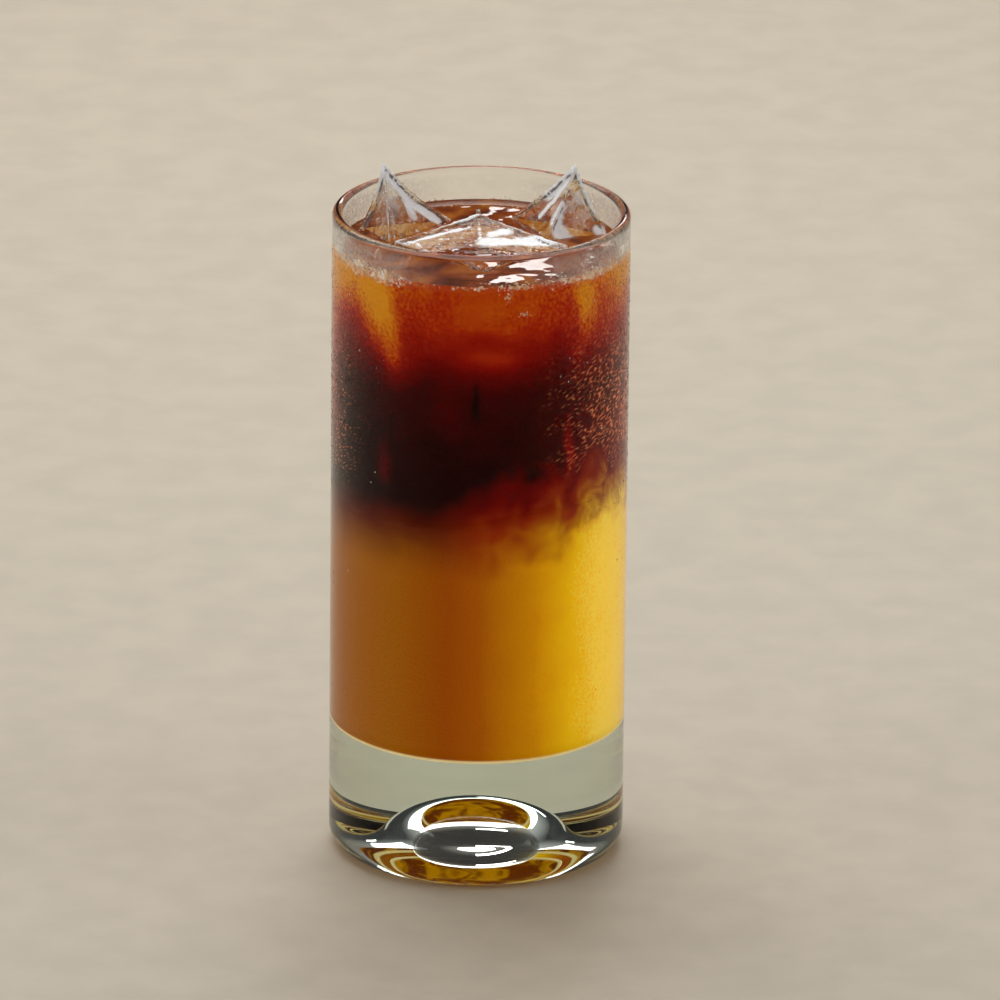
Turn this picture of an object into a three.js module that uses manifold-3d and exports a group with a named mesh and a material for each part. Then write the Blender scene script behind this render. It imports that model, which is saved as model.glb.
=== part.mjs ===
// An iced drink of two layers in a tall straight glass: orange juice below, black coffee above,
// and three blocks of ice that stand out of the coffee. Millimetres, +Z up.
// The origin is on the glass's axis, on the surface that it stands on, and -Y is the shown front.

import * as THREE from "three";
import { mergeVertices } from "three/addons/utils/BufferGeometryUtils.js";
import Module from "manifold-3d";

// Glass
const glassRadius = 34;
const glassHeight = 153;
const wallThickness = 2.4;
const floorHeight = 30;
const floorFillet = 4;
const heelRadius = 5;

// Hollow under the base: a dome that flares out into the flat foot
const puntHeight = 15;
const puntRadius = 22;
const puntFlare = 9;

// Drink
const liquidLevel = 144.5;
const layerHeight = 88;
const layerWaves = [
  { rise: 4, crests: 1, crestAt: 55 },
  { rise: 1.5, crests: 3, crestAt: 50 },
];

// Ice: each block hangs from its highest corner by three edges. That corner is drawn out, and
// waist is the width of the rest, as a share of the edges' own. hollow is how far the faces are
// sunk in the middle, as a share of the half width.
const iceBlocks = {
  ice_front: {
    corner: [-0.8, 14.0, 148.0],
    edges: [
      [-20.0, -15.5, -1.5],
      [21.5, -17.5, -1.5],
      [0.0, -1.0, -24.0],
    ],
    waist: 0.96,
    hollow: 0.06,
  },
  ice_left: {
    corner: [-22.8, 12.0, 161.0],
    edges: [
      [18.5, 9.0, -14.3],
      [-9.0, 1.0, -17.0],
      [1.0, -15.5, -14.5],
    ],
    waist: 0.8,
    hollow: 0.05,
  },
  ice_right: {
    corner: [21.5, 14.0, 160.4],
    edges: [
      [-16.0, 9.0, -14.0],
      [11.0, -5.5, -16.0],
      [-6.5, -11.0, -13.5],
    ],
    waist: 0.86,
    hollow: 0.05,
  },
};
const cornerSharpness = 3;
const iceReach = 30;

// Room left between pieces that touch, and between the ice and what it lies in
const gap = 0.3;
const iceRoom = 0.4;

// How finely round and hollow shapes are divided
const roundSegments = 64;
const arcStep = 18;
const layerRings = 7;
const iceDivisions = 6;

const innerRadius = glassRadius - wallThickness;
const drinkRadius = innerRadius - gap;
const radians = THREE.MathUtils.degToRad;

const wasm = await Module();
wasm.setup();

// Points along an arc of a profile, from one angle to another in degrees, ends included.
function arc(centreR, centreZ, radius, from, to) {
  const steps = Math.max(2, Math.ceil(Math.abs(to - from) / arcStep));
  const points = [];
  for (let step = 0; step <= steps; step += 1) {
    const angle = radians(from + ((to - from) * step) / steps);
    points.push([centreR + radius * Math.cos(angle), centreZ + radius * Math.sin(angle)]);
  }
  return points;
}

// A solid of revolution about Z from [radius, height] pairs that start and end on the axis.
function turned(profile) {
  const points = profile.map(([r, z]) => new THREE.Vector2(Math.max(r, 0), z));
  const geometry = new THREE.LatheGeometry(points, roundSegments);
  geometry.rotateX(Math.PI / 2);
  return geometry;
}

// A closed geometry as a manifold solid: corners shared, faces that have no area left out.
function toSolid(geometry) {
  const bare = geometry.clone();
  bare.deleteAttribute("normal");
  bare.deleteAttribute("uv");
  const merged = mergeVertices(bare, 1e-4);
  const index = merged.index.array;
  const kept = [];
  for (let i = 0; i < index.length; i += 3) {
    const [a, b, c] = [index[i], index[i + 1], index[i + 2]];
    if (a !== b && b !== c && c !== a) kept.push(a, b, c);
  }
  return new wasm.Manifold(
    new wasm.Mesh({
      numProp: 3,
      vertProperties: merged.attributes.position.array,
      triVerts: new Uint32Array(kept),
    }),
  );
}

function toGeometry(solid) {
  const mesh = solid.getMesh();
  const geometry = new THREE.BufferGeometry();
  geometry.setAttribute("position", new THREE.BufferAttribute(mesh.vertProperties, 3));
  geometry.setIndex(new THREE.BufferAttribute(mesh.triVerts, 1));
  geometry.computeVertexNormals();
  return geometry;
}

// Height of the wavy surface between juice and coffee. Its waves die out towards the axis.
// Angles are counted from the front, towards +X.
function layerSurface(x, y) {
  const fromFront = Math.atan2(x, -y);
  const reach = Math.min(Math.hypot(x, y) / drinkRadius, 1);
  let height = layerHeight;
  for (const { rise, crests, crestAt } of layerWaves) {
    height += reach * rise * Math.cos(crests * (fromFront - radians(crestAt)));
  }
  return height;
}

// Rings of a flat disc, from the axis to the wall of the drink or back.
function discRings(height, outwards) {
  const rings = [];
  for (let ring = 0; ring <= layerRings; ring += 1) {
    rings.push([(drinkRadius * ring) / layerRings, height]);
  }
  return outwards ? rings : rings.reverse();
}

// Lifts the disc at layerHeight on to the wavy surface, moved up or down by offset.
function waveLayer(geometry, offset) {
  const place = geometry.attributes.position;
  for (let i = 0; i < place.count; i += 1) {
    if (Math.abs(place.getZ(i) - layerHeight) < gap) {
      place.setZ(i, layerSurface(place.getX(i), place.getY(i)) + offset);
    }
  }
  return geometry;
}

// The hollow under the base, from the axis out to the foot: two arcs that meet in one slope.
function puntProfile() {
  const bothRadii = (puntRadius ** 2 + puntHeight ** 2) / (2 * puntHeight);
  const slope = THREE.MathUtils.radToDeg(Math.asin(puntRadius / bothRadii));
  const domeRadius = bothRadii - puntFlare;
  const dome = arc(0, puntHeight - domeRadius, domeRadius, 90, 90 - slope);
  const flare = arc(puntRadius, puntFlare, puntFlare, 270 - slope, 270);
  return [...dome, ...flare.slice(1)];
}

function glassGeometry() {
  const rimRadius = wallThickness / 2;
  return turned([
    ...puntProfile(),
    ...arc(glassRadius - heelRadius, heelRadius, heelRadius, -90, 0),
    ...arc(glassRadius - rimRadius, glassHeight - rimRadius, rimRadius, 0, 180),
    ...arc(innerRadius - floorFillet, floorHeight + floorFillet, floorFillet, 360, 270),
    [0, floorHeight],
  ]);
}

function juiceGeometry() {
  const bottom = floorHeight + gap;
  return waveLayer(
    turned([
      [0, bottom],
      ...arc(drinkRadius - floorFillet, bottom + floorFillet, floorFillet, -90, 0),
      ...discRings(layerHeight, false),
    ]),
    -gap / 2,
  );
}

function coffeeGeometry() {
  return waveLayer(
    turned([...discRings(layerHeight, true), [drinkRadius, liquidLevel], [0, liquidLevel]]),
    gap / 2,
  );
}

// Distances between the opposite faces of a block with these three edges.
function blockWidths([a, b, c]) {
  const [bc, ca, ab] = [b.clone().cross(c), c.clone().cross(a), a.clone().cross(b)];
  const volume = Math.abs(a.dot(bc));
  return [volume / bc.length(), volume / ca.length(), volume / ab.length()];
}

// A block of ice before its neighbours cut it, with its faces moved out by room.
// A point of the block is u, v, w from -1 to 1 along its edges, and 1, 1, 1 is the high corner.
function blockGeometry({ corner, edges, waist, hollow }, room) {
  const axes = edges.map((edge) => new THREE.Vector3(...edge));
  const widths = blockWidths(axes);
  const centre = new THREE.Vector3(...corner);
  for (const axis of axes) centre.addScaledVector(axis, 0.5);
  const size = iceDivisions;
  const geometry = new THREE.BoxGeometry(2, 2, 2, size, size, size);
  const place = geometry.attributes.position;
  const point = new THREE.Vector3();
  for (let i = 0; i < place.count; i += 1) {
    const [u, v, w] = [place.getX(i), place.getY(i), place.getZ(i)];
    const cornerness = (((1 + u) * (1 + v) * (1 + w)) / 8) ** cornerSharpness;
    const [roomU, roomV, roomW] = [1 - u * u, 1 - v * v, 1 - w * w];
    const sunk = hollow * (roomU * roomV + roomV * roomW + roomW * roomU);
    const reach = waist + (1 - waist) * cornerness - sunk;
    point.copy(centre);
    [u, v, w].forEach((along, n) => {
      const share = along * (reach + (2 * room) / widths[n]);
      point.addScaledVector(axes[n], -share / 2);
    });
    place.setXYZ(i, point.x, point.y, point.z);
  }
  return geometry;
}

// A block as a solid, with room round it. It has melted back from the glass's wall.
function blockSolid(block, room) {
  const reach = iceReach + room;
  const bore = turned([[0, 0], [reach, 0], [reach, 2 * glassHeight], [0, 2 * glassHeight]]);
  return toSolid(facingOut(blockGeometry(block, room))).intersect(toSolid(bore));
}

// Turns a solid round if its edges are taken in left-handed order.
function facingOut(geometry) {
  const solid = toSolid(geometry);
  if (solid.volume() > 0) return geometry;
  const index = geometry.index.array;
  for (let i = 0; i < index.length; i += 3) {
    [index[i + 1], index[i + 2]] = [index[i + 2], index[i + 1]];
  }
  return geometry;
}

const glassFinish = {
  color: 0xdfe8e2,
  roughness: 0.03,
  metalness: 0,
  transparent: true,
  opacity: 0.3,
};
const juiceFinish = { color: 0xc07a08, roughness: 0.35, metalness: 0 };
const coffeeFinish = { color: 0x3a0f04, roughness: 0.12, metalness: 0 };
const iceFinish = {
  color: 0xeaf1f2,
  roughness: 0.06,
  metalness: 0,
  transparent: true,
  opacity: 0.55,
};

function piece(name, geometry, finish) {
  const mesh = new THREE.Mesh(geometry, new THREE.MeshStandardMaterial(finish));
  mesh.name = name;
  return mesh;
}

const group = new THREE.Group();
group.add(piece("glass", glassGeometry(), glassFinish));
group.add(piece("juice", juiceGeometry(), juiceFinish));

// The front block lies whole, and the blocks behind it are cut back from it.
const frontRoom = blockSolid(iceBlocks.ice_front, iceRoom);
let coffee = toSolid(coffeeGeometry());
for (const [name, block] of Object.entries(iceBlocks)) {
  const behind = name !== "ice_front";
  const solid = blockSolid(block, 0);
  group.add(piece(name, toGeometry(behind ? solid.subtract(frontRoom) : solid), iceFinish));
  coffee = coffee.subtract(blockSolid(block, iceRoom));
}
group.add(piece("coffee", toGeometry(coffee), coffeeFinish));

export default group;
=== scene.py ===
"""Iced coffee over orange juice in a tall glass, dressed round its packed solids.

The glass, both drinks and the ice are finer meshes in place of the solids. Bubbles, condensation
and the air caught in the ice are added here. Sizes are in metres, +Z is up, and -Y is the shown
front. Angles round the glass are counted from the front, towards +X.
"""

import math
import random
from collections import namedtuple

import bmesh
import bpy
import numpy
from bpy.props import FloatProperty, FloatVectorProperty, IntProperty, PointerProperty
from mathutils import Euler, Matrix, Vector, noise
from mathutils.bvhtree import BVHTree


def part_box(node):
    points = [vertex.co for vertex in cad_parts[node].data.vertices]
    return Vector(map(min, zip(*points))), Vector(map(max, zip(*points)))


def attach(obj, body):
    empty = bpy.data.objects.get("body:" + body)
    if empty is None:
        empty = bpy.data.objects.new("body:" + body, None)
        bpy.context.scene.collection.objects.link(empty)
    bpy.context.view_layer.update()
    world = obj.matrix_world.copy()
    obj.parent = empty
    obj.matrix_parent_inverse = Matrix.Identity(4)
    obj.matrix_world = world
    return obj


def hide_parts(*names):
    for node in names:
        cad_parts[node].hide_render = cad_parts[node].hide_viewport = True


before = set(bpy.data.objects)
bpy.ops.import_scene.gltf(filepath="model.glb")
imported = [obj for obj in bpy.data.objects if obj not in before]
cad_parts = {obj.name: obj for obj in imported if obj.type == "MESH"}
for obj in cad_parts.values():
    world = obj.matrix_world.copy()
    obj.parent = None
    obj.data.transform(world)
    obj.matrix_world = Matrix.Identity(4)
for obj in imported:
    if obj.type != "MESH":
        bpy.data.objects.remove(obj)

bl_info = {
    "name": "Layered iced coffee",
    "version": (1, 0, 0),
    "blender": (4, 5, 0),
    "location": "View3D > Sidebar > Iced coffee",
    "description": "Glass, juice, coffee, ice, bubbles and condensation of a layered iced drink",
    "category": "Object",
}

MM = 0.001
# Distance in metres under which two places are one
TINY = 1e-6
UP = Vector((0, 0, 1))
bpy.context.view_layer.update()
BODY = "root"

GLASS_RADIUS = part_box("glass")[1].x
GLASS_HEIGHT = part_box("glass")[1].z
# Room that the packed drinks leave to the glass
DRINK_GAP = 0.3 * MM
BORE_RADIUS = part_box("coffee")[1].x + DRINK_GAP
FLOOR_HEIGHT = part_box("juice")[0].z - DRINK_GAP
LIQUID_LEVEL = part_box("coffee")[1].z
ICE_NODES = ("ice_front", "ice_left", "ice_right")

# Seeds of the random draws
ICE_SEED, FROTH_SEED, MIST_SEED, DROPLET_SEED = 3, 5, 11, 12


def shade(red, green, blue):
    """A colour given as it shows on a screen, from 0 to 255, in Blender's linear values."""
    parts = (value / 255 for value in (red, green, blue))
    return tuple(p / 12.92 if p <= 0.04045 else ((p + 0.055) / 1.055) ** 2.4 for p in parts)


def swatch(name, description, *screen):
    """A colour that a user may change."""
    text = {"name": name, "description": description, "subtype": "COLOR"}
    return FloatVectorProperty(**text, default=shade(*screen), size=3, min=0.0, max=1.0)


def length(name, description, millimetres):
    """A length that a user may change."""
    text = {"name": name, "description": description, "unit": "LENGTH"}
    return FloatProperty(**text, default=millimetres * MM, precision=5)


class GlassSettings(bpy.types.PropertyGroup):
    """Sizes and tint of the glass."""

    floor_fillet: length("Floor fillet", "Radius where the floor meets the wall", 4)
    heel_radius: length("Heel radius", "Radius of the rounded outer edge below", 5)
    punt_height: length("Hollow height", "Height of the hollow under the base", 15)
    punt_radius: length("Hollow radius", "Radius where the hollow meets the foot", 22)
    punt_flare: length("Hollow flare", "Radius of the hollow's flared skirt", 9)
    tint: swatch("Tint", "Colour that thick glass takes", 160, 204, 176)
    tint_strength: FloatProperty(
        name="Tint strength", description="Absorption for each metre of glass", default=9.0
    )
    segments: IntProperty(name="Segments", description="Steps round the glass", default=192)


class DrinkSettings(bpy.types.PropertyGroup):
    """Levels and colours of the juice and the coffee."""

    wall_overlap: length("Wall overlap", "How far the drink reaches into the glass", 0.15)
    layer_height: length("Layer height", "Mean height where the drinks meet", 88)
    meniscus: length("Meniscus", "How far the coffee climbs the glass", 0.9)
    meniscus_reach: length("Meniscus reach", "How soon the climb falls off", 1.1)
    # The coffee's tones make a ramp of painted light: only the core and dark tones are the
    # coffee's own near-black, and the redder and brighter ones stand for light that comes through
    # thin coffee and the ice in it.
    coffee_core: swatch("Coffee, core", "Deepest coffee", 13, 1, 1)
    coffee_dark: swatch("Coffee, dark", "Deep coffee", 30, 2, 1)
    coffee_maroon: swatch("Coffee, maroon", "Coffee above the core", 58, 2, 1)
    coffee_crimson: swatch("Coffee, crimson", "Coffee below the ice", 98, 3, 1)
    coffee_red: swatch("Coffee, red", "Thin coffee", 130, 11, 2)
    coffee_orange: swatch("Coffee, orange", "Coffee thinned by ice", 161, 36, 3)
    coffee_amber: swatch("Coffee, amber", "Light through the ice", 188, 88, 5)
    coffee_pale: swatch("Coffee, pale", "Brightest glow", 206, 134, 18)
    sparkle: swatch("Sparkle", "Light caught by droplets", 230, 124, 76)
    # The juice's tones are painted light and shade, from the side away from the light to where
    # most light comes through.
    juice_back: swatch("Juice, behind", "Juice away from the light", 150, 84, 1)
    juice_side: swatch("Juice, side", "Juice on its darker side", 158, 92, 0)
    juice_dark: swatch("Juice, shaded", "Darkest juice", 153, 73, 0)
    juice_mid: swatch("Juice, middle", "Juice between both sides", 167, 86, 0)
    juice_gold: swatch("Juice, gold", "Juice nearer the light", 205, 138, 0)
    juice_light: swatch("Juice, lit", "Juice on its lighter side", 238, 188, 0)
    juice_pale: swatch("Juice, palest", "Where most light comes through", 250, 212, 70)
    # A painted highlight: the bright line along the foot of the juice
    juice_foot_highlight: swatch("Juice, foot", "Bright line along its foot", 255, 228, 160)
    juice_under: swatch("Juice, underside", "Juice seen from below", 118, 52, 3)
    glow: FloatProperty(
        name="Glow",
        description="Light that comes out of the drink, as a share of its colour",
        default=0.5,
    )


class IceSettings(bpy.types.PropertyGroup):
    """Finish of the ice blocks."""

    grain: length("Mesh size", "Size of the faces of the melted surface", 0.4)
    ridge_height: length("Ridge height", "How far a full ridge stands out", 0.26)
    hollow: length("Hollow", "How deep faces have melted between the ridges", 0.8)
    melt: length("Melt", "Height of the waves left by melting", 0.5)
    overlap: length("Overlap", "How far the coffee reaches into the ice", 0.12)


class FrothSettings(bpy.types.PropertyGroup):
    """Bubbles along the edge of the coffee."""

    count: IntProperty(name="Bubbles", description="Number of bubbles", default=3600)
    smallest: length("Smallest", "Radius of the smallest bubble", 0.1)
    largest: length("Largest", "Radius of the largest bubble", 0.42)


class CondensationSettings(bpy.types.PropertyGroup):
    """Droplets on the outside of the glass."""

    fine_count: IntProperty(name="Mist", description="Number of fine droplets", default=7000)
    fine_smallest: length("Mist, smallest", "Radius of the finest droplet", 0.12)
    fine_largest: length("Mist, largest", "Radius of the largest fine droplet", 0.26)
    count: IntProperty(name="Droplets", description="Number of larger droplets", default=1500)
    smallest: length("Smallest", "Radius of the smallest larger droplet", 0.22)
    largest: length("Largest", "Radius of the largest droplet", 0.48)


class StudioSettings(bpy.types.PropertyGroup):
    """Camera, floor and light."""

    elevation: FloatProperty(
        name="Elevation",
        description="Angle that the camera looks down at",
        default=math.radians(19.41),
        subtype="ANGLE",
    )
    roll: FloatProperty(
        name="Roll", description="Lean of the camera", default=math.radians(0.587), subtype="ANGLE"
    )
    distance: length("Distance", "From the camera to its aim", 3000)
    aim_x: length("Aim X", "Point that the camera looks at, along X", 4.86)
    aim_z: length("Aim Z", "Point that the camera looks at, along Z", 83.18)
    frame_width: length("Frame width", "Width of the picture at the aim", 229.25)
    floor_colour: swatch("Floor", "Colour of the floor", 207, 195, 174)


SETTINGS = {
    "drink_glass": GlassSettings,
    "drink_liquid": DrinkSettings,
    "drink_ice": IceSettings,
    "drink_froth": FrothSettings,
    "drink_condensation": CondensationSettings,
    "drink_studio": StudioSettings,
}


# Node helpers


class Nodes:
    """A tree of nodes, and the few ways of adding to it that the finishes here need."""

    def __init__(self, owner, place):
        owner.use_nodes = True
        self.tree = owner.node_tree
        self.place = self.add("ShaderNodeTexCoord").outputs[place]

    def feed(self, socket, value):
        """Links an output to a socket, or sets the socket to a plain value."""
        if isinstance(value, bpy.types.NodeSocket):
            self.tree.links.new(value, socket)
        elif socket.type == "RGBA":
            socket.default_value = (*value, 1.0)
        else:
            socket.default_value = value

    def add(self, kind, inputs=None, **settings):
        node = self.tree.nodes.new(kind)
        for key, value in settings.items():
            setattr(node, key, value)
        for key, value in (inputs or {}).items():
            self.feed(node.inputs[key], value)
        return node

    def maths(self, operation, first, second=0.0, third=0.0):
        inputs = {0: first, 1: second, 2: third}
        return self.add("ShaderNodeMath", inputs, operation=operation).outputs[0]

    def times(self, first, second, plus=None):
        """One value times another, with a third added where it is given."""
        if plus is None:
            return self.maths("MULTIPLY", first, second)
        return self.maths("MULTIPLY_ADD", first, second, plus)

    def plus(self, first, second):
        return self.maths("ADD", first, second)

    def minus(self, first, second):
        return self.maths("SUBTRACT", first, second)

    def over(self, first, second):
        return self.maths("DIVIDE", first, second)

    def larger(self, first, second):
        return self.maths("MAXIMUM", first, second)

    def vectors(self, operation, inputs, output=0):
        return self.add("ShaderNodeVectorMath", inputs, operation=operation).outputs[output]

    def dot(self, place, direction):
        return self.vectors("DOT_PRODUCT", {0: place, 1: direction}, "Value")

    def split(self, vector):
        node = self.add("ShaderNodeSeparateXYZ", {"Vector": vector})
        return node.outputs["X"], node.outputs["Y"], node.outputs["Z"]

    def joined(self, x, y, z=0.0):
        return self.add("ShaderNodeCombineXYZ", {"X": x, "Y": y, "Z": z}).outputs[0]

    def between(self, value, low, high, to_low=0.0, to_high=1.0):
        """A value moved smoothly from one range to another, and kept inside it."""
        inputs = {0: value, 1: low, 2: high, 3: to_low, 4: to_high}
        node = self.add("ShaderNodeMapRange", inputs, interpolation_type="SMOOTHSTEP")
        return node.outputs[0]

    def mix(self, share, first, second):
        inputs = {0: share, 6: first, 7: second}
        return self.add("ShaderNodeMix", inputs, data_type="RGBA").outputs[2]

    def ramp(self, share, stops):
        node = self.add("ShaderNodeValToRGB", {"Fac": share})
        points = node.color_ramp.elements
        while len(points) < len(stops):
            points.new(0.5)
        for point, (position, colour) in zip(points, stops):
            point.position = position
            point.color = (*colour, 1.0)
        return node.outputs["Color"]

    def noise(self, size, place=None, detail=3.0, distortion=0.0, colour=False):
        """Noise from 0 to 1, with patches about as many millimetres across as size says."""
        inputs = {"Scale": 1 / (size * MM), "Detail": detail, "Distortion": distortion}
        inputs["Vector"] = place or self.place
        node = self.add("ShaderNodeTexNoise", inputs)
        return node.outputs["Color" if colour else "Fac"]

    def warped(self, size, amount):
        """The place, pushed about by noise, both given in millimetres."""
        push = self.noise(size, detail=2.0, colour=True)
        push = self.vectors("SUBTRACT", {0: push, 1: (0.5, 0.5, 0.5)})
        push = self.vectors("SCALE", {0: push, "Scale": amount * MM})
        return self.vectors("ADD", {0: self.place, 1: push})


class Paint(Nodes):
    """A material for a surface."""

    def __init__(self, name):
        self.material = bpy.data.materials.new(name)
        super().__init__(self.material, "Object")

    def bump(self, height, depth):
        """Relief that is as many millimetres deep as depth says."""
        inputs = {"Height": height, "Distance": depth * MM, "Strength": 1.0}
        return self.add("ShaderNodeBump", inputs).outputs["Normal"]

    def set(self, **values):
        """Sets sockets of the surface shader, with _ for a space."""
        surface = self.tree.nodes["Principled BSDF"]
        for key, value in values.items():
            self.feed(surface.inputs[key.replace("_", " ")], value)

    def glow(self, colour, strength):
        """Lets the surface give off light of its own, too faint to be sampled as a lamp."""
        self.set(Emission_Color=colour, Emission_Strength=strength)
        self.material.cycles.emission_sampling = "NONE"

    def finish(self, colour, roughness, ior=1.5, **values):
        """Sets what every surface has, and what else is given, and returns the material."""
        self.set(Base_Color=colour, Roughness=roughness, IOR=ior, **values)
        return self.material


# Mesh helpers


def arc(centre_r, centre_z, radius, start, end, step=6):
    """Points of a profile along an arc, from one angle to another in degrees, ends included."""
    count = max(2, math.ceil(abs(end - start) / step))
    points = []
    for index in range(count + 1):
        angle = math.radians(start + (end - start) * index / count)
        points.append((centre_r + radius * math.cos(angle), centre_z + radius * math.sin(angle)))
    return points


def line(start, end, count):
    """Points of a profile along a straight line, without its start."""
    (r, z), (end_r, end_z) = start, end
    shares = (index / count for index in range(1, count + 1))
    return [(r + (end_r - r) * share, z + (end_z - z) * share) for share in shares]


def ring_of_points(sides, radius, height):
    turns = (math.tau * side / sides for side in range(sides))
    return [Vector((radius * math.cos(turn), radius * math.sin(turn), height)) for turn in turns]


def lathe(name, profile, segments):
    """A closed mesh turned about Z from a profile that starts and ends on the axis."""
    mesh = bmesh.new()
    rings = []
    for radius, height in profile:
        around = ring_of_points(segments, radius, height)
        points = around if radius > TINY else [(0, 0, height)]
        rings.append([mesh.verts.new(point) for point in points])
    for low, high in zip(rings, rings[1:]):
        for index in range(segments):
            following = (index + 1) % segments
            if len(low) == 1:
                mesh.faces.new((low[0], high[following], high[index]))
            elif len(high) == 1:
                mesh.faces.new((low[index], low[following], high[0]))
            else:
                mesh.faces.new((low[index], low[following], high[following], high[index]))
    bmesh.ops.recalc_face_normals(mesh, faces=mesh.faces)
    return finish_mesh(name, mesh)


def add_object(name, data):
    """A new object of the scene."""
    added = bpy.data.objects.new(name, data)
    bpy.context.scene.collection.objects.link(added)
    return added


def finish_mesh(name, mesh, smooth=True):
    """Turns a bmesh into an object of the scene."""
    data = bpy.data.meshes.new(name)
    mesh.to_mesh(data)
    mesh.free()
    if smooth:
        data.shade_smooth()
    return add_object(name, data)


def evaluated(piece):
    """A piece as its modifiers make it."""
    return piece.evaluated_get(bpy.context.evaluated_depsgraph_get())


def apply_modifiers(piece):
    """Keeps what the modifiers of a piece make of its mesh, and removes them."""
    data = bpy.data.meshes.new_from_object(evaluated(piece))
    piece.modifiers.clear()
    old = piece.data
    piece.data = data
    bpy.data.meshes.remove(old)


def copy_of_node(name, node):
    """A new object with the mesh of a packed solid, its corners shared."""
    mesh = bmesh.new()
    mesh.from_mesh(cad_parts[node].data)
    bmesh.ops.remove_doubles(mesh, verts=mesh.verts, dist=TINY)
    return finish_mesh(name, mesh)


def place_piece(piece, materials, slot, *nodes):
    """Paints a finished piece, hangs it on the body's empty and hides the solids that it stands in
    for.
    """
    piece.data.materials.clear()
    for material in materials:
        piece.data.materials.append(material)
    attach(piece, BODY)
    if nodes:
        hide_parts(*nodes)


def on_wall(angle, height, radius=BORE_RADIUS):
    """A point at an angle in degrees from the front, towards +X."""
    turn = math.radians(angle)
    return Vector((radius * math.sin(turn), -radius * math.cos(turn), height))


# Glass


def punt_profile(sizes):
    """The hollow under the base, from the axis to the foot: a dome, then a flare."""
    radius, height, flare = sizes.punt_radius, sizes.punt_height, sizes.punt_flare
    both_radii = (radius**2 + height**2) / (2 * height)
    slope = math.degrees(math.asin(radius / both_radii))
    dome_radius = both_radii - flare
    dome = arc(0, height - dome_radius, dome_radius, 90, 90 - slope, 3)
    skirt = arc(radius, flare, flare, 270 - slope, 270, 3)
    return dome + skirt[1:]


# Steps along the profile: under the foot, up the outside, down the inside and over the floor
FOOT_STEPS, OUTSIDE_STEPS, INSIDE_STEPS, BASE_STEPS = 6, 60, 50, 20


def glass_profile(sizes):
    rim = (GLASS_RADIUS - BORE_RADIUS) / 2
    fillet = sizes.floor_fillet
    heel = arc(GLASS_RADIUS - sizes.heel_radius, sizes.heel_radius, sizes.heel_radius, -90, 0, 4)
    lip = arc(GLASS_RADIUS - rim, GLASS_HEIGHT - rim, rim, 0, 180, 10)
    floor = arc(BORE_RADIUS - fillet, FLOOR_HEIGHT + fillet, fillet, 360, 270)
    hollow = punt_profile(sizes)
    return [
        *hollow,
        *line(hollow[-1], heel[0], FOOT_STEPS),
        *heel[1:],
        *line(heel[-1], lip[0], OUTSIDE_STEPS),
        *lip[1:],
        *line(lip[-1], floor[0], INSIDE_STEPS),
        *floor[1:],
        *line(floor[-1], (0, FLOOR_HEIGHT), BASE_STEPS),
    ]


def glass_material(sizes):
    """Clear pressed glass: barely wavy, faintly green where thick, and misted by the rim."""
    paint = Paint("Clear glass")
    x, y, z = paint.split(paint.place)
    band = paint.times(
        paint.between(z, LIQUID_LEVEL - 1 * MM, LIQUID_LEVEL + 2 * MM),
        paint.between(z, GLASS_HEIGHT - 0.8 * MM, GLASS_HEIGHT - 3 * MM),
    )
    most = paint.between(paint.maths("ABSOLUTE", x), 6 * MM, 28 * MM, 0.03, 0.32)
    fog = paint.between(paint.noise(0.8, detail=2.0), 0.2, 0.65, 0.0, most)
    tint = {"Color": sizes.tint, "Density": sizes.tint_strength}
    volume = paint.add("ShaderNodeVolumeAbsorption", tint).outputs["Volume"]
    paint.feed(paint.tree.nodes["Material Output"].inputs["Volume"], volume)
    return paint.finish(
        (1.0, 0.97, 0.94),
        roughness=0.0,
        Transmission_Weight=paint.times(paint.times(band, fog), -1, 1.0),
        Specular_Tint=(0.15, 0.15, 0.15),
        Normal=paint.bump(paint.noise(14, detail=0.0), 0.12),
    )


class DRINK_OT_glass(bpy.types.Operator):
    """Make the tall glass with its thick hollowed base"""

    bl_idname = "layered_drink.glass"
    bl_label = "Make the glass"

    def execute(self, context):
        sizes = context.scene.drink_glass
        piece = lathe("tall_glass", glass_profile(sizes), sizes.segments)
        place_piece(piece, [glass_material(sizes)], "glass", "glass")
        return {"FINISHED"}


# Juice and coffee

LayerWave = namedtuple("LayerWave", "rise crests crest_at")
LAYER_WAVES = (LayerWave(4.0 * MM, 1, 55), LayerWave(1.5 * MM, 3, 50))


def layer_surface(x, y, mean):
    """Height of the wavy surface between juice and coffee."""
    from_front = math.atan2(x, -y)
    reach = min(math.hypot(x, y) / BORE_RADIUS, 1)
    height = mean
    for wave in LAYER_WAVES:
        turn = wave.crests * (from_front - math.radians(wave.crest_at))
        height += reach * wave.rise * math.cos(turn)
    return height


def painted_layer_height(paint, angle, liquid):
    """The same surface at the wall, as a value in a material."""
    height = liquid.layer_height
    for wave in LAYER_WAVES:
        turn = paint.minus(angle, math.radians(wave.crest_at))
        swing = paint.maths("COSINE", paint.times(turn, float(wave.crests)))
        height = paint.times(swing, wave.rise, height)
    return height
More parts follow.
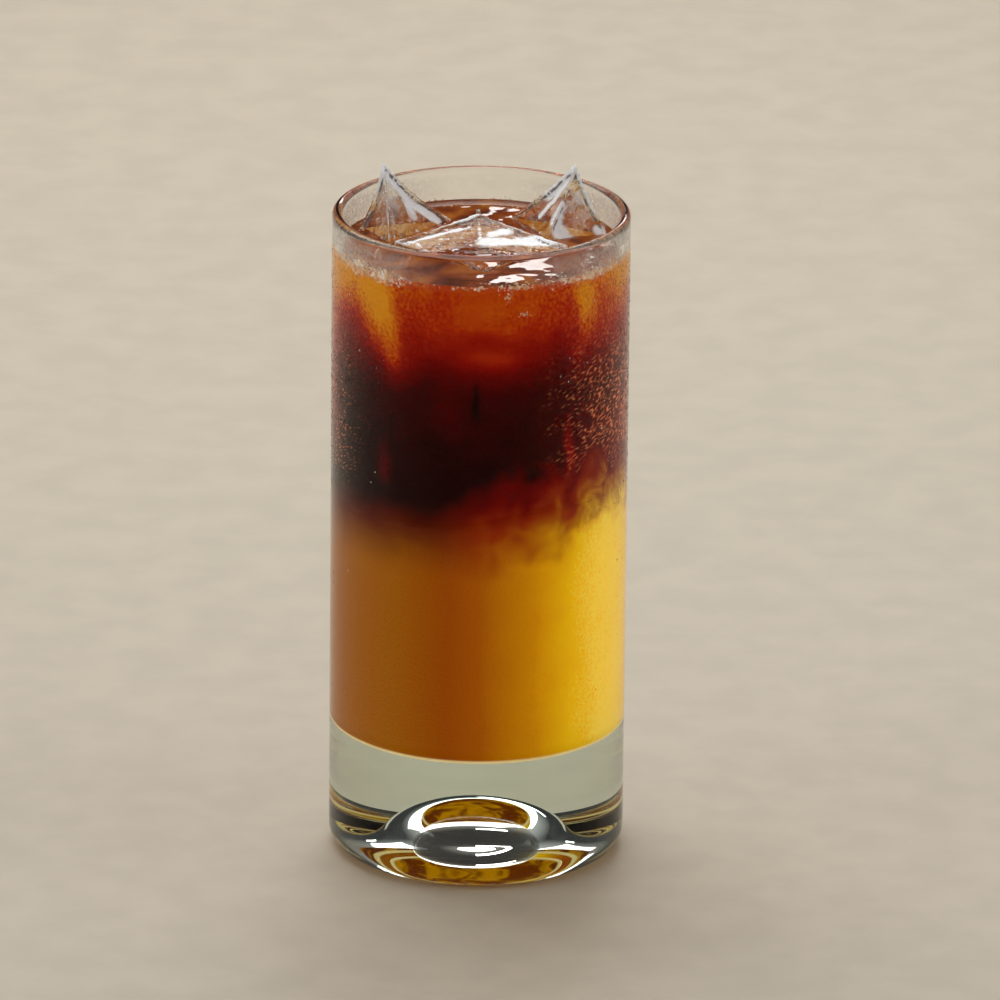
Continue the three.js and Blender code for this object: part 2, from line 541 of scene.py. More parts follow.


# Places of painted light where light comes through the coffee, and of painted shade where the gain
# is below 0: angle from the front, height, reach to the left, right, up and down, width of the
# soft edge as a share of the reach, and gain in brightness
Glow = namedtuple("Glow", "angle height reach soft gain")
GLOWS = (
    Glow(-44, 140, (9, 6, 8, 18), 0.9, 0.34),
    Glow(-36, 130, (4, 3, 10, 10), 0.8, 0.18),
    Glow(-34, 124, (8, 7, 9, 9), 1.0, 0.16),
    Glow(-72, 146, (16, 18, 11, 18), 1.0, 0.46),
    Glow(5, 138, (15, 14, 6, 9), 0.7, 0.05),
    Glow(4, 128.5, (13, 12, 2.5, 6), 1.0, 0.12),
    Glow(3, 133.5, (12, 12, 2, 3), 1.0, -0.06),
    Glow(46, 140, (4, 7, 9, 12), 0.9, 0.24),
    Glow(33, 130, (5, 5, 8, 12), 1.0, -0.12),
    Glow(76, 146, (18, 16, 10, 18), 1.0, 0.34),
    Glow(86, 103, (16, 18, 28, 20), 1.0, 0.42),
    Glow(54, 104, (22, 22, 24, 20), 1.0, 0.20),
    Glow(40, 103, (2.2, 2.2, 12, 10), 1.0, 0.30),
    Glow(-84, 108, (16, 12, 46, 22), 1.0, 0.35),
    Glow(-42, 98, (4, 4, 11, 5), 1.0, 0.24),
    Glow(-10, 114, (8, 4, 12, 9), 1.0, 0.10),
    Glow(-1, 117, (1.5, 1.5, 9, 6), 1.0, -0.20),
    Glow(118, 137, (6, 8, 12, 15), 0.8, 0.26),
    Glow(150, 140, (14, 14, 8, 12), 0.6, 0.14),
    Glow(178, 133, (4, 5, 16, 12), 0.8, 0.24),
    Glow(206, 141, (12, 15, 8, 14), 0.7, 0.16),
    Glow(240, 135, (6, 4, 14, 14), 0.7, 0.24),
    Glow(262, 143, (14, 14, 8, 14), 1.0, 0.20),
)

# How fast a glow fades where the wall curves away from it
GLOW_CURVE = 12 * MM


def glow_share(paint, place, glow):
    """1 at the middle of a glow, falling to 0 at its reach."""
    left, right, up, down = (reach * MM for reach in glow.reach)
    outward = on_wall(glow.angle, 0, 1.0)
    across = paint.dot(place, UP.cross(outward))
    behind = paint.minus(BORE_RADIUS, paint.dot(place, outward))
    rise = paint.minus(paint.split(place)[2], glow.height * MM)
    across = paint.larger(paint.over(across, right), paint.over(across, -left))
    rise = paint.larger(paint.over(rise, up), paint.over(rise, -down))
    offset = paint.joined(across, rise, paint.over(behind, GLOW_CURVE))
    away = paint.vectors("LENGTH", {0: offset}, "Value")
    return paint.between(away, 1 - glow.soft, 1.0, 1.0, 0.0)


# Where each colour of the drinks stands on its ramp, by its name in the settings
JUICE_TONES = (
    (0.0, "back"), (0.20, "side"), (0.40, "side"), (0.60, "dark"),
    (0.71, "mid"), (0.87, "gold"), (0.965, "light"), (1.0, "pale"),
)
COFFEE_TONES = (
    (0.0, "core"), (0.15, "dark"), (0.30, "maroon"), (0.45, "crimson"),
    (0.58, "red"), (0.70, "orange"), (0.84, "amber"), (1.0, "pale"),
)

# Angle of the side that most light comes through
LIT_SIDE = 66


def tones(liquid, drink, stops):
    return [(stop, getattr(liquid, drink + "_" + tone)) for stop, tone in stops]


def juice_paint(paint, x, y, liquid):
    """Juice colour, lighter on the side that most light comes through."""
    towards = on_wall(LIT_SIDE, 0, 1.0)
    side = paint.times(x, towards.x / BORE_RADIUS / 2)
    side = paint.times(y, towards.y / BORE_RADIUS / 2, side)
    cloud = paint.times(paint.noise(9), 0.05, 0.475)
    pulp = paint.times(paint.noise(0.7, detail=2.0), 0.07, -0.035)
    share = paint.plus(paint.plus(side, cloud), pulp)
    return paint.ramp(share, tones(liquid, "juice", JUICE_TONES))


def foot_paint(paint, liquid):
    """The underside of the juice: amber in its middle, mottled with the gold of lit juice as
    painted light, with a painted highlight as a bright line round its edge.
    """
    flat = paint.vectors("MULTIPLY", {0: paint.place, 1: (1.0, 1.0, 0.0)})
    radius = paint.vectors("LENGTH", {0: flat}, "Value")
    patches = paint.between(paint.noise(9, detail=2.0, distortion=0.6), 0.42, 0.62)
    middle = paint.mix(patches, liquid.juice_under, liquid.juice_gold)
    # Painted highlight: a bright line round the edge of the juice's foot
    edge = paint.between(radius, 26.5 * MM, 27.8 * MM, 0.0, 0.9)
    return paint.mix(edge, middle, liquid.juice_foot_highlight)


# How brightly the coffee glows at each height in millimetres, as a share of its ramp of colours
COFFEE_BRIGHTNESS = (
    (84, 0.12), (98, 0.12), (110, 0.18), (118, 0.24), (123, 0.37),
    (129, 0.55), (135, 0.68), (141, 0.73), (145, 0.76),
)

# Size in millimetres of the pebbles that fine droplets break the drink into
PEBBLE = 0.75


def mist_share(paint):
    """Where the glass is misted: all round, and more towards its sides than in front."""
    x, y, z = paint.split(paint.place)
    side = paint.maths("ABSOLUTE", paint.over(x, BORE_RADIUS))
    return paint.times(paint.between(z, 82 * MM, 112 * MM), paint.times(side, 0.75, 0.15))


def mist_relief(paint):
    """The pebbled look of a drink seen through fine droplets, as a height."""
    height = paint.between(paint.split(paint.place)[2], 84 * MM, 106 * MM, 0.12, 1.0)
    return paint.times(paint.noise(PEBBLE, detail=1.0), height)


def coffee_paint(paint, place, angle, liquid):
    """Coffee colour as painted light: bright where light comes through by the ice, nearly black
    below, with a few places of painted shade, seen through fine droplets.
    """
    low, high = COFFEE_BRIGHTNESS[0][0], COFFEE_BRIGHTNESS[-1][0]
    lift = paint.minus(paint.split(place)[2], low * MM)
    stops = [((at - low) / (high - low), (share,) * 3) for at, share in COFFEE_BRIGHTNESS]
    light = paint.ramp(paint.over(lift, (high - low) * MM), stops)
    # Painted light through the ice, and painted shade where a glow's gain is below 0
    for glow in GLOWS:
        light = paint.times(glow_share(paint, place, glow), glow.gain, light)
    clouds = paint.times(paint.noise(9, detail=4.0), 0.16, -0.08)
    pebbles = paint.times(paint.noise(PEBBLE, detail=1.0), 0.6, -0.3)
    light = paint.times(pebbles, mist_share(paint), paint.plus(light, clouds))
    colour = paint.ramp(light, tones(liquid, "coffee", COFFEE_TONES))
    return paint.mix(sparkle_share(paint, angle), colour, liquid.sparkle)


def slanted(paint, angle, tilt, stretch):
    """The wall laid flat and turned, so that noise on it runs in strokes along a slant."""
    z = paint.split(paint.place)[2]
    along = paint.times(angle, BORE_RADIUS)
    across, rise = math.cos(math.radians(tilt)), math.sin(math.radians(tilt))
    bend = paint.times(paint.noise(9, detail=1.0), 3.4 * MM, -1.7 * MM)
    stroke = paint.times(z, rise, paint.times(along, across))
    side = paint.times(z, across, paint.times(along, -rise))
    return paint.joined(paint.over(stroke, stretch), paint.plus(side, bend))


def sparkle_share(paint, angle):
    """Light caught by run-together droplets, at both sides of the glass and most at the right."""
    x, y, z = paint.split(paint.place)
    strokes = paint.noise(0.40, slanted(paint, angle, 24, 3.0), detail=0.0)
    right = paint.between(x, 9 * MM, 31 * MM)
    left = paint.between(x, -24 * MM, -33 * MM, 0.0, 0.8)
    fade = paint.between(z, 140 * MM, 114 * MM, 0.25, 1.0)
    heights = paint.times(paint.between(z, 88 * MM, 98 * MM), fade)
    side = paint.times(paint.larger(right, left), heights)
    patches = paint.times(side, 0.16, paint.noise(4, detail=2.0))
    lit = paint.between(paint.times(side, 0.10, strokes), 0.62, 0.76, 0.0, 0.95)
    return paint.times(paint.times(lit, paint.between(patches, 0.46, 0.64)), side)


# Colours that thin coffee takes over juice, with the part of the way over which each comes in
Edge = namedtuple("Edge", "start end colour")
RED_EDGE = Edge(0.0, 0.38, shade(106, 3, 1))
BROWN_EDGE = Edge(0.0, 0.38, shade(84, 17, 3))
ORANGE_EDGE = Edge(0.24, 0.62, shade(140, 42, 2))


def drink_material(name, liquid):
    """One paint for both drinks, so that they run into each other where they meet."""
    paint = Paint(name)
    place = paint.warped(20, 6)
    x, y, z = paint.split(paint.place)
    angle = paint.maths("ARCTAN2", x, paint.times(y, -1.0))
    level = painted_layer_height(paint, angle, liquid)
    above = paint.between(x, -11 * MM, 3 * MM, 5.3 * MM, 11.2 * MM)
    below = paint.between(x, 18 * MM, 25 * MM, 14.0 * MM, 9.5 * MM)
    right = paint.between(x, -10 * MM, 12 * MM)
    wisps = paint.minus(paint.noise(7, detail=5.0, distortion=0.5), 0.5)
    wisps = paint.times(wisps, paint.times(right, 16 * MM, 5 * MM))
    depth = paint.minus(paint.plus(level, above), paint.plus(z, wisps))
    share = paint.over(depth, paint.plus(above, below))
    colour = coffee_paint(paint, place, angle, liquid)
    red = paint.between(x, -12 * MM, 4 * MM)
    brown = paint.minus(1.0, red)
    for edge, kept in ((BROWN_EDGE, brown), (RED_EDGE, red), (ORANGE_EDGE, red)):
        reached = paint.between(share, edge.start, edge.end)
        colour = paint.mix(paint.times(reached, kept), colour, edge.colour)
    sooner = paint.between(x, 20 * MM, 28 * MM, 0.0, 0.14)
    start = paint.minus(paint.times(red, 0.30, 0.20), sooner)
    reached = paint.between(share, start, paint.times(red, 0.08, 1.0))
    colour = paint.mix(reached, colour, juice_paint(paint, x, y, liquid))
    # The juice's foot takes painted light underneath and a painted highlight round its edge
    foot = paint.between(z, FLOOR_HEIGHT + 1.4 * MM, FLOOR_HEIGHT + 0.6 * MM)
    colour = paint.mix(foot, colour, foot_paint(paint, liquid))
    paint.glow(colour, liquid.glow)
    relief = paint.bump(mist_relief(paint), 0.6)
    return paint.finish(colour, roughness=0.15, ior=1.1, Normal=relief)


def surface_material():
    """The open surface of the coffee: wet and brown, with lighter and darker pools."""
    paint = Paint("Coffee surface")
    colour = paint.ramp(
        paint.noise(11, detail=4.0, distortion=0.8),
        [
            (0.30, shade(78, 26, 5)),
            (0.46, shade(118, 50, 10)),
            (0.60, shade(148, 78, 22)),
            (0.76, shade(176, 112, 46)),
        ],
    )
    paint.glow(colour, 0.2)
    ripples = paint.bump(paint.noise(6, detail=1.0), 0.16)
    return paint.finish(colour, roughness=0.03, ior=1.34, Normal=ripples)


def cavity_material():
    """Coffee lit through the ice that lies in it."""
    paint = Paint("Coffee behind ice")
    z = paint.split(paint.place)[2]
    depth = paint.between(z, LIQUID_LEVEL - 22 * MM, LIQUID_LEVEL - 2 * MM, 0.0, 0.5)
    patches = paint.noise(5, detail=4.0, distortion=1.2)
    colour = paint.ramp(
        paint.times(patches, 0.8, depth),
        [
            (0.34, shade(54, 10, 3)),
            (0.52, shade(112, 42, 8)),
            (0.68, shade(160, 84, 20)),
            (0.84, shade(194, 134, 60)),
            (1.0, shade(222, 190, 140)),
        ],
    )
    paint.glow(colour, 0.35)
    return paint.finish(colour, roughness=0.4, Specular_IOR_Level=0.0)


# Steps of the drinks' meshes: round the glass, from its wall to its axis, along the floor to the
# rounded corner, and over the open surface
DRINK_SEGMENTS = 128
DRINK_STEPS = 24
FLOOR_STEPS = 8
SURFACE_STEPS = 28

# The coffee's faces are painted as its wall this near to the glass, and so far over the layers
WALL_DEPTH = 0.2 * MM
WALL_PAINT_RISE = 8 * MM


def pour(name, profile, liquid):
    """A drink turned from its profile, with waves where the layers meet."""
    piece = lathe(name, profile, DRINK_SEGMENTS)
    for vertex in piece.data.vertices:
        if abs(vertex.co.z - liquid.layer_height) < TINY:
            vertex.co.z = layer_surface(vertex.co.x, vertex.co.y, liquid.layer_height)
    return piece


def open_surface(liquid, radius):
    """Points of the coffee's surface, from the wall, which it climbs, to the axis."""
    points = []
    for index in range(SURFACE_STEPS):
        inwards = radius * (index / SURFACE_STEPS) ** 2
        climb = liquid.meniscus * math.exp(-inwards / liquid.meniscus_reach)
        points.append((radius - inwards, LIQUID_LEVEL + climb))
    return [*points, (0, LIQUID_LEVEL)]


def carve_for_ice(coffee, cutters):
    """Cuts the room for each block out of the coffee."""
    for cutter in cutters:
        cut = coffee.modifiers.new(cutter.name, "BOOLEAN")
        cut.operation = "DIFFERENCE"
        cut.solver = "MANIFOLD"
        cut.object = cutter
    apply_modifiers(coffee)
    for cutter in cutters:
        data = cutter.data
        bpy.data.objects.remove(cutter)
        bpy.data.meshes.remove(data)


def ice_cutter(node, ice):
    """A block of ice, smaller by the overlap, so that the coffee reaches into the ice."""
    cutter = melted_block(node + "_room", node, ice)
    shift_surface(cutter, -ice.overlap)
    return cutter


def paint_faces(coffee, liquid):
    """Picks the paint of each face: the wall's, the open surface's or that behind the ice."""
    for face in coffee.data.polygons:
        at_top = face.center.z > LIQUID_LEVEL - 10 * TINY and face.normal.z > 0.3
        at_wall = math.hypot(face.center.x, face.center.y) > BORE_RADIUS - WALL_DEPTH
        under = face.center.z < liquid.layer_height + WALL_PAINT_RISE
        face.material_index = 1 if at_top else (0 if at_wall or under else 2)


class DRINK_OT_liquids(bpy.types.Operator):
    """Pour the juice and the coffee over it"""

    bl_idname = "layered_drink.liquids"
    bl_label = "Pour the drinks"

    def execute(self, context):
        liquid = context.scene.drink_liquid
        ice = context.scene.drink_ice
        fillet = context.scene.drink_glass.floor_fillet
        radius = BORE_RADIUS + liquid.wall_overlap
        bottom = FLOOR_HEIGHT - liquid.wall_overlap
        steps = range(DRINK_STEPS, -1, -1)
        rings = [(radius * index / DRINK_STEPS, liquid.layer_height) for index in steps]
        corner = arc(radius - fillet, bottom + fillet, fillet, -90, 0)
        profile = [(0, bottom), *line((0, bottom), corner[0], FLOOR_STEPS), *corner[1:]]
        profile += line(corner[-1], rings[0], DRINK_STEPS) + rings[1:]
        juice = pour("orange_juice", profile, liquid)
        place_piece(juice, [drink_material("Orange juice", liquid)], "juice", "juice")

        surface = open_surface(liquid, radius)
        profile = [*reversed(rings), *line(rings[0], surface[0], DRINK_STEPS), *surface[1:]]
        coffee = pour("black_coffee", profile, liquid)
        carve_for_ice(coffee, [ice_cutter(node, ice) for node in ICE_NODES])
        paints = [drink_material("Black coffee", liquid), surface_material(), cavity_material()]
        place_piece(coffee, paints, "coffee", "coffee")
        paint_faces(coffee, liquid)
        return {"FINISHED"}


# Ice


def shift_surface(piece, amount):
    """Moves each point of a piece along its normal."""
    normals = [vertex.normal.copy() for vertex in piece.data.vertices]
    for vertex, normal in zip(piece.data.vertices, normals):
        vertex.co += normal * amount
    piece.data.update()


def smoothed_points(piece, rounds):
    """Where the points of a piece would go if it were smoothed that many times."""
    rounder = piece.modifiers.new("rounder", "SMOOTH")
    rounder.factor = 0.5
    rounder.iterations = rounds
    points = [vertex.co.copy() for vertex in evaluated(piece).data.vertices]
    piece.modifiers.clear()
    return points


# Rounds of smoothing: to take the steps off the mesh, and to find its ridges
STEP_ROUNDS, RIDGE_ROUNDS = 2, 40

# Lengths of the long and short waves of melting, and the short ones' share
LONG_WAVE, SHORT_WAVE, SHORT_SHARE = 7 * MM, 3 * MM, 0.3


def melted_block(name, node, ice):
    """A block of ice as it melts: crisp ridges, with the faces between them hollowed and wavy."""
    piece = copy_of_node(name, node)
    finer = piece.modifiers.new("finer", "REMESH")
    finer.mode = "VOXEL"
    finer.voxel_size = ice.grain
    apply_modifiers(piece)
    for vertex, point in zip(piece.data.vertices, smoothed_points(piece, STEP_ROUNDS)):
        vertex.co = point
    piece.data.update()
    ridges = []
    softened = smoothed_points(piece, RIDGE_ROUNDS)
    normals = [vertex.normal.copy() for vertex in piece.data.vertices]
    for vertex, point, normal in zip(piece.data.vertices, softened, normals):
        shift = vertex.co - point
        ridges.append(min(max(shift.dot(normal) / ice.ridge_height, 0), 1))
        flat = 1 - min(shift.length / ice.ridge_height, 1)
        short = SHORT_SHARE * noise.noise(vertex.co / SHORT_WAVE)
        wave = noise.noise(vertex.co / LONG_WAVE) + short
        vertex.co -= normal * flat * (ice.hollow + wave * ice.melt)
    mark_points(piece, "ridge", ridges)
    piece.data.update()
    piece.data.shade_smooth()
    return piece


# Where ice is white, with caught air and with painted highlights where it is melted smooth: a path
# in millimetres, how far it reaches from that path, and how white it is there
Mark = namedtuple("Mark", "path reach white")
FROST_AND_HIGHLIGHTS = (
    Mark(((-22.6, 11.6, 161), (-22.4, 11.6, 157)), 2.4, 0.95),
    Mark(((-22, 12, 158), (-16.2, 13.4, 150), (-9.5, 16, 145)), 1.7, 0.95),
    Mark(((-18, 12.5, 151), (-16, 12, 147)), 2.0, 0.7),
    Mark(((-23, 11.6, 158), (-28, 10, 145)), 1.8, 0.7),
    Mark(((-27, 7, 145), (-24, 5, 144)), 1.8, 0.6),
    Mark(((21.2, 13.4, 160), (17.8, 13.6, 153), (13.6, 13.9, 147)), 1.2, 0.9),
    Mark(((19.5, 14, 158), (15.5, 16, 152)), 3.2, 0.75),
    Mark(((17.5, 9, 151), (17, 8.5, 148)), 2.8, 0.8),
    Mark(((17.5, 6.5, 146.5), (19.5, 6.3, 144.5)), 3.0, 0.75),
    Mark(((22, 13, 158), (25.5, 11.5, 151), (29, 11, 144)), 1.5, 0.8),
    Mark(((26.5, 9, 145.5), (28, 9, 144)), 2.0, 0.7),
    Mark(((-19.5, 0.5, 145.2), (-10, 6.8, 146.6), (-0.8, 12.9, 148)), 1.0, 1.0),
    Mark(((-17.5, -1.6, 145), (-2.8, 8.4, 146.5)), 0.9, 0.95),
    Mark(((-0.8, 12.7, 148), (-0.1, 1, 145.2)), 0.9, 0.9),
    Mark(((2.5, 4.5, 146), (6, 5.5, 146.6)), 2.2, 0.8),
    Mark(((1, 1, 145.4), (8, 0.6, 145.8), (17, 0, 145.4)), 3.4, 0.9),
    Mark(((-14.6, -1, 145.2), (-10.5, -8, 145)), 0.6, 0.8),
    Mark(((-12, -1.5, 145.2), (-10, -7, 145)), 0.4, 0.7),
    Mark(((-9, 12, 120), (9, 10, 122)), 6.0, 0.3),
    Mark(((-20, 19, 158), (-14, 19, 147)), 4.0, 0.6),
    Mark(((20, 20, 156), (15, 20, 147)), 4.0, 0.6),
)

# Where the coffee is painted on the ice, brown and amber, as it shows through it, in the same way
COFFEE_SHOWN_THROUGH = (
    Mark(((-22, 9, 153), (-21, 7, 147)), 6.0, 1.0),
    Mark(((23, 12, 154), (23, 10, 148)), 4.5, 1.0),
    Mark(((13, 17, 151), (7, 16, 146)), 1.6, 1.0),
    Mark(((3, 9, 147.5), (14, 3, 146)), 1.5, 0.9),
)

# How much a mark's share is raised, so that the middle of its reach is wholly marked
MARK_FALL = 1.4


def share_near(points, marks):
    """For each point, how strongly the nearest of some marked paths acts on it."""
    shares = numpy.zeros(len(points))
    for mark in marks:
        path = numpy.array(mark.path) * MM
        for start, end in zip(path, path[1:]):
            along = end - start
            part = numpy.clip((points - start) @ along / (along @ along), 0, 1)
            away = numpy.linalg.norm(points - start - part[:, None] * along, axis=1)
            share = numpy.clip(MARK_FALL * (1 - away / (mark.reach * MM)), 0, 1)
            shares = numpy.maximum(shares, share * share * (3 - 2 * share) * mark.white)
    return shares


def mark_points(piece, name, values):
    """Keeps a value for each point of a mesh, for its material to read."""
    piece.data.attributes.new(name, "FLOAT", "POINT").data.foreach_set("value", values)


def mark_frost_and_highlights(piece):
    """Marks where a block is white, with caught air and painted highlights, and where the coffee
    is painted as it shows through it.
    """
    points = numpy.empty(3 * len(piece.data.vertices))
    piece.data.vertices.foreach_get("co", points)
    points = points.reshape(-1, 3)
    mark_points(piece, "frost_and_highlight", share_near(points, FROST_AND_HIGHLIGHTS))
    mark_points(piece, "coffee_through_ice", share_near(points, COFFEE_SHOWN_THROUGH))


def marked(paint, name):
    return paint.add("ShaderNodeAttribute", attribute_name=name).outputs["Fac"]


def ice_material():
    """Wet clear ice, white with caught air and painted highlights, with painted shade beside its
    ridges and the coffee painted as it shows through it.
    """
    paint = Paint("Clear ice")
    # White of caught air and painted highlights, from the marks, torn at its edges
    torn = paint.minus(paint.noise(3, detail=3.0, distortion=1.0), 0.5)
    frost_and_highlight = paint.times(torn, 1.2, marked(paint, "frost_and_highlight"))
    white = paint.between(frost_and_highlight, 0.05, 0.9, 0.0, 0.92)
    # Painted highlights along the ridges, broken into lengths
    ridge = marked(paint, "ridge")
    broken = paint.between(paint.noise(6, detail=2.0), 0.46, 0.60, 0.0, 0.5)
    white = paint.larger(white, paint.times(paint.between(ridge, 0.4, 1.0), broken))
    flecks = paint.between(paint.noise(0.9, detail=2.0), 0.58, 0.68, 0.0, 0.8)
    cloudy = paint.between(paint.noise(4, detail=4.0, distortion=1.0), 0.44, 0.60)
    white = paint.larger(white, paint.times(flecks, cloudy))
    z = paint.split(paint.place)[2]
    lift = paint.between(z, LIQUID_LEVEL, LIQUID_LEVEL + 11 * MM)
    swirl = paint.noise(3.2, detail=3.0, distortion=2.0)
    # Painted refraction: the coffee as it shows through the ice, amber low down and white higher
    # up
    behind = paint.ramp(
        paint.times(lift, 0.07, swirl),
        [
            (0.34, shade(196, 146, 88)),
            (0.42, shade(230, 196, 144)),
            (0.50, shade(244, 232, 208)),
            (0.56, shade(252, 250, 246)),
        ],
    )
    colour = paint.mix(paint.between(white, 0.15, 0.6), behind, (0.97, 0.98, 0.98))
    # Painted shade: thin dark lines beside the ridges
    beside = paint.times(paint.between(ridge, 0.06, 0.2), paint.between(ridge, 0.5, 0.28))
    dark_lines = paint.times(beside, paint.between(swirl, 0.42, 0.54))
    colour = paint.mix(paint.times(dark_lines, 0.85), colour, shade(66, 40, 22))
    cast = paint.between(paint.noise(6, detail=1.0), 0.4, 0.6, 0.05, 0.55)
    haze = paint.larger(paint.times(cast, lift), paint.times(dark_lines, 0.55))
    # Painted refraction of the coffee where it shows through the ice
    coffee_seen = paint.times(marked(paint, "coffee_through_ice"), paint.between(cloudy, 0, 1, 0.08, 0.30))
    hidden = paint.larger(paint.larger(white, coffee_seen), haze)
    paint.glow(paint.mix(hidden, (0.0, 0.0, 0.0), colour), 0.15)
    waves = paint.noise(4, detail=1.0, distortion=0.5)
    return paint.finish(
        colour,
        roughness=paint.times(white, 0.12, 0.01),
        ior=1.31,
        Transmission_Weight=paint.minus(1.0, hidden),
        Normal=paint.bump(waves, 0.3),
    )


def points_inside(piece, draw, count, depth):
    """Random points inside a piece, each with its depth, at least the depth that is asked for."""
    mesh = bmesh.new()
    mesh.from_mesh(piece.data)
    tree = BVHTree.FromBMesh(mesh)
    mesh.free()
    low = Vector(min(vertex.co[axis] for vertex in piece.data.vertices) for axis in range(3))
    high = Vector(max(vertex.co[axis] for vertex in piece.data.vertices) for axis in range(3))
    found = []
    while len(found) < count:
        point = Vector(draw.uniform(low[axis], high[axis]) for axis in range(3))
        distance = tree.find_nearest(point)[3]
        if distance > depth and is_inside(tree, point):
            found.append((point, distance))
    return found


def is_inside(tree, point):
    """Whether a ray upwards leaves the surface one more time than it enters."""
    crossings = 0
    hit = tree.ray_cast(point, UP)[0]
    while hit is not None:
        crossings += 1
        hit = tree.ray_cast(hit + UP * 1e-5, UP)[0]
    return crossings % 2 == 1


def air_material():
    """Air caught in ice, which looks white."""
    paint = Paint("Air in ice")
    tone = paint.noise(1.5, detail=1.0)
    colour = paint.mix(tone, shade(214, 216, 214), shade(250, 250, 250))
    return paint.finish(colour, roughness=0.2, ior=1.1, Transmission_Weight=0.5)


# Air caught in a block: how many, how deep at least, range of widths, how wide it is across as a
# share of that, and how thick, in millimetres
Air = namedtuple("Air", "count depth width shape thickness")
TRAPPED_AIR = (
    Air(10, 1.6, (1.6, 4.0), (0.5, 0.9), 0.10),
    Air(40, 0.8, (0.2, 0.9), (0.3, 1.0), 0.10),
    Air(45, 0.5, (0.07, 0.24), (1.0, 1.0), 0.15),
)


def air_stations(piece, draw):
    """Places for flat cracks, flakes and bubbles of air inside a block."""
    stations = []
    for air in TRAPPED_AIR:
        for point, depth in points_inside(piece, draw, air.count, air.depth * MM):
            turn = Euler([draw.uniform(0, math.tau) for _ in range(3)]).to_matrix().to_4x4()
            width = min(draw.uniform(*air.width) * MM, depth * 0.9)
            across = width * draw.uniform(*air.shape)
            size = Matrix.Diagonal((width, across, air.thickness * MM, 1))
            stations.append(Matrix.Translation(point) @ turn @ size)
    return stations


class DRINK_OT_ice(bpy.types.Operator):
    """Make the ice blocks that stand out of the coffee, with the air caught in them"""

    bl_idname = "layered_drink.ice"
    bl_label = "Make the ice"

    def execute(self, context):
        ice = context.scene.drink_ice
        material = ice_material()
        draw = random.Random(ICE_SEED)
        stations = []
        for node in ICE_NODES:
            piece = melted_block("melting_" + node, node, ice)
            mark_frost_and_highlights(piece)
            place_piece(piece, [material], "ice", node)
            stations.extend(air_stations(piece, draw))
        air = scatter("air_in_ice", ball_points(8, 4), stations)
        place_piece(air, [air_material()], "ice")
        return {"FINISHED"}


# Bubbles and droplets


def rounded_points(sides, lifts, closed_below):
    """Points and faces of a rounded form of radius 1, with a ring at each lift in degrees."""
    points = []
    for lift in lifts:
        turn = math.radians(lift)
        points.extend(ring_of_points(sides, math.cos(turn), math.sin(turn)))
    faces = []
    for ring in range(len(lifts) - 1):
        for side in range(sides):
            after = (side + 1) % sides
            low, high = ring * sides, (ring + 1) * sides
            faces.append((low + side, low + after, high + after, high + side))
    last = len(points) - sides
    points.append(Vector((0, 0, 1)))
    for side in range(sides):
        faces.append((last + side, last + (side + 1) % sides, len(points) - 1))
    if closed_below:
        points.append(Vector((0, 0, -1)))
        for side in range(sides):
            faces.append(((side + 1) % sides, side, len(points) - 1))
    else:
        faces.append(tuple(reversed(range(sides))))
    return points, faces


def dome_points(sides, rings):
    """Half a ball over the XY plane, flat below."""
    return rounded_points(sides, [90 * ring / rings for ring in range(rings)], False)


def ball_points(sides, rings):
    lifts = [180 * ring / rings - 90 for ring in range(1, rings)]
    return rounded_points(sides, lifts, True)


def scatter(name, shape, stations):
    """One mesh of copies of a shape, each at its own station, a 4x4 matrix."""
    points, faces = shape
    vertices = []
    joined = []
    for station in stations:
        first = len(vertices)
        vertices.extend(station @ point for point in points)
        joined.extend(tuple(first + index for index in face) for face in faces)
    data = bpy.data.meshes.new(name)
    data.from_pydata(vertices, [], joined)
    data.shade_smooth()
    return add_object(name, data)


def wall_station(angle, height, radius, width, tall, proud):
    """Places a dome on a cylinder about Z: its base on the wall, its top outwards."""
    outward = on_wall(angle, 0, 1.0)
    turn = Matrix((UP.cross(outward), UP, outward)).transposed().to_4x4()
    size = Matrix.Diagonal((width, tall, proud, 1))
    return Matrix.Translation(on_wall(angle, height, radius)) @ turn @ size


def water_material():
    """Clear water, with the underside of each droplet left out of sight in the glass."""
    paint = Paint("Condensed water")
    rough = paint.times(paint.noise(4, detail=0.0), 0.04)
    return paint.finish((1.0, 1.0, 1.0), rough, ior=1.14, Transmission_Weight=1.0)


# Where droplets begin over the juice, over what height they come in, and how wide patches are
MIST_START, MIST_RISE, MIST_PATCH = 84 * MM, 26 * MM, 14 * MM

# Heights in millimetres that droplets are drawn from, and their width and depth as shares of
# their size
MIST_HEIGHTS, MIST_WIDTHS, MIST_DEPTHS = (40, 145), (0.85, 1.3), (0.08, 0.14)

# How far a droplet's flat side is sunk into the glass
MIST_SUNK = 0.005 * MM


def mist_density(angle, height):
    """Share of droplets kept: few over the juice, most over the coffee and at its sides."""
    share = min(max((height - MIST_START) / MIST_RISE, 0), 1)
    side = abs(math.sin(math.radians(angle)))
    patch = noise.noise(on_wall(angle, height) / MIST_PATCH)
    return 0.01 + share * (0.7 * side**4 + 0.12 * patch)


def condense(name, count, smallest, largest, seed):
    """Droplets that cling to the outside of the glass."""
    draw = random.Random(seed)
    radius = GLASS_RADIUS - MIST_SUNK
    stations = []
    while len(stations) < count:
        angle = draw.uniform(-180, 180)
        height = draw.uniform(*MIST_HEIGHTS) * MM
        if draw.random() > mist_density(angle, height):
            continue
        size = smallest + (largest - smallest) * draw.random() ** 2
        width = size * draw.uniform(*MIST_WIDTHS)
        proud = size * draw.uniform(*MIST_DEPTHS)
        stations.append(wall_station(angle, height, radius, width, size, proud))
    place_piece(scatter(name, dome_points(5, 2), stations), [water_material()], "glass")


